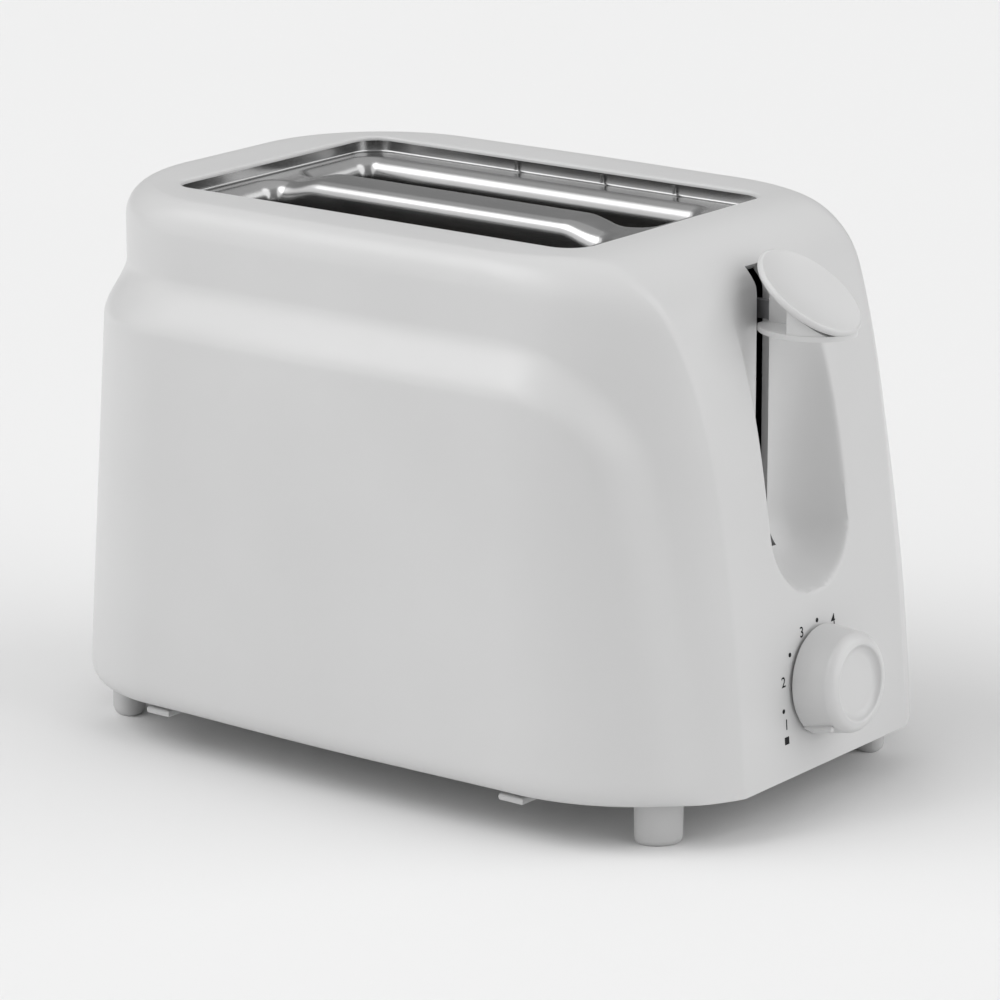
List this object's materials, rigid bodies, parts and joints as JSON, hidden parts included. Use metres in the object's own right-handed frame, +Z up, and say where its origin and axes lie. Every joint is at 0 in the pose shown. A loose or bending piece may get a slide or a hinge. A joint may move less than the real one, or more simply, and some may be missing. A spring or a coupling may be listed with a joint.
{
  "type": "pop up toaster",
  "caption": "Two-slot pop-up toaster: rounded white shell with fuller flanks, steel top with two bread slots, thumb lever in a scooped groove, browning dial and crumb tray.",
  "frame": {"origin": "middle of the overall box, on the table, at the underside of the feet", "axes": "+X towards the lever and dial end, +Y towards the side away from the viewer in the picture (the lever end is to the right), +Z up"},
  "size_m": [0.2698, 0.177, 0.178],
  "materials": {
    "white_plastic": "fine satin moulded white",
    "base_plastic": "matte moulded white",
    "foot_plastic": "matte pale grey",
    "gland_plastic": "matte white",
    "polished_steel": "polished stamped stainless steel",
    "sheet_steel": "rolled galvanised sheet",
    "steel_wire": "drawn wire",
    "mica": "speckled mica sheet",
    "resistance_ribbon": "dull heat-darkened alloy",
    "board_laminate": "phenolic board",
    "component_plastic": "black moulded",
    "soft_iron": "plated laminations",
    "coil_winding": "enamelled copper wire",
    "screw_steel": "zinc plated",
    "bush_plastic": "natural nylon"
  },
  "bodies": {
    "housing": {"outer_shell": "white_plastic", "top_bezel": "polished_steel", "base_plate": "base_plastic", "foot_front_left": "foot_plastic", "foot_front_right": "foot_plastic", "foot_rear_left": "foot_plastic", "foot_rear_right": "foot_plastic", "cord_gland": "gland_plastic", "chassis_front_plate": "sheet_steel", "chassis_rear_plate": "sheet_steel", "reflector_left": "sheet_steel", "reflector_right": "sheet_steel", "bread_guard_left_outer": "steel_wire", "bread_guard_left_inner": "steel_wire", "bread_guard_right_outer": "steel_wire", "bread_guard_right_inner": "steel_wire", "mica_card_left": "mica", "mica_card_right": "mica", "mica_card_centre": "mica", "heater_ribbon_left": "resistance_ribbon", "heater_ribbon_right": "resistance_ribbon", "heater_ribbon_centre": "resistance_ribbon", "guide_rod": "steel_wire", "lift_spring": "steel_wire", "circuit_board": "board_laminate", "board_components": "component_plastic", "electromagnet_core": "soft_iron", "electromagnet_coil": "coil_winding", "browning_control": "component_plastic", "tray_rails": "sheet_steel", "base_screws": "screw_steel", "chassis_screws": "screw_steel", "board_screws": "screw_steel"},
    "carriage": {"carriage_plate": "sheet_steel", "slide_bush": "bush_plastic", "lever_arm": "sheet_steel", "lever_knob": "white_plastic", "armature_plate": "soft_iron", "bread_lift_left": "sheet_steel", "bread_lift_right": "sheet_steel"},
    "browning_dial": {"dial_knob": "white_plastic", "dial_shaft": "screw_steel"},
    "crumb_drawer": {"crumb_tray": "sheet_steel", "tray_handle": "white_plastic"}
  },
  "joints": [
    {"name": "lever_slide", "type": "slide", "parent": "housing", "child": "carriage", "axis": [0, 0, -1], "range_m": [0, 0.063], "stiffness_N_per_m": 66, "springref_m": -0.045, "deforming": ["lift_spring"]},
    {"name": "dial_turn", "type": "hinge", "parent": "housing", "child": "browning_dial", "pos_m": [0.1189, -0.0015, 0.042], "axis": [-0.9967, 0, -0.0809], "range_deg": [0, 275]},
    {"name": "crumb_tray_slide", "type": "slide", "parent": "housing", "child": "crumb_drawer", "axis": [-1, 0, 0], "range_m": [0, 0.15]}
  ]
}
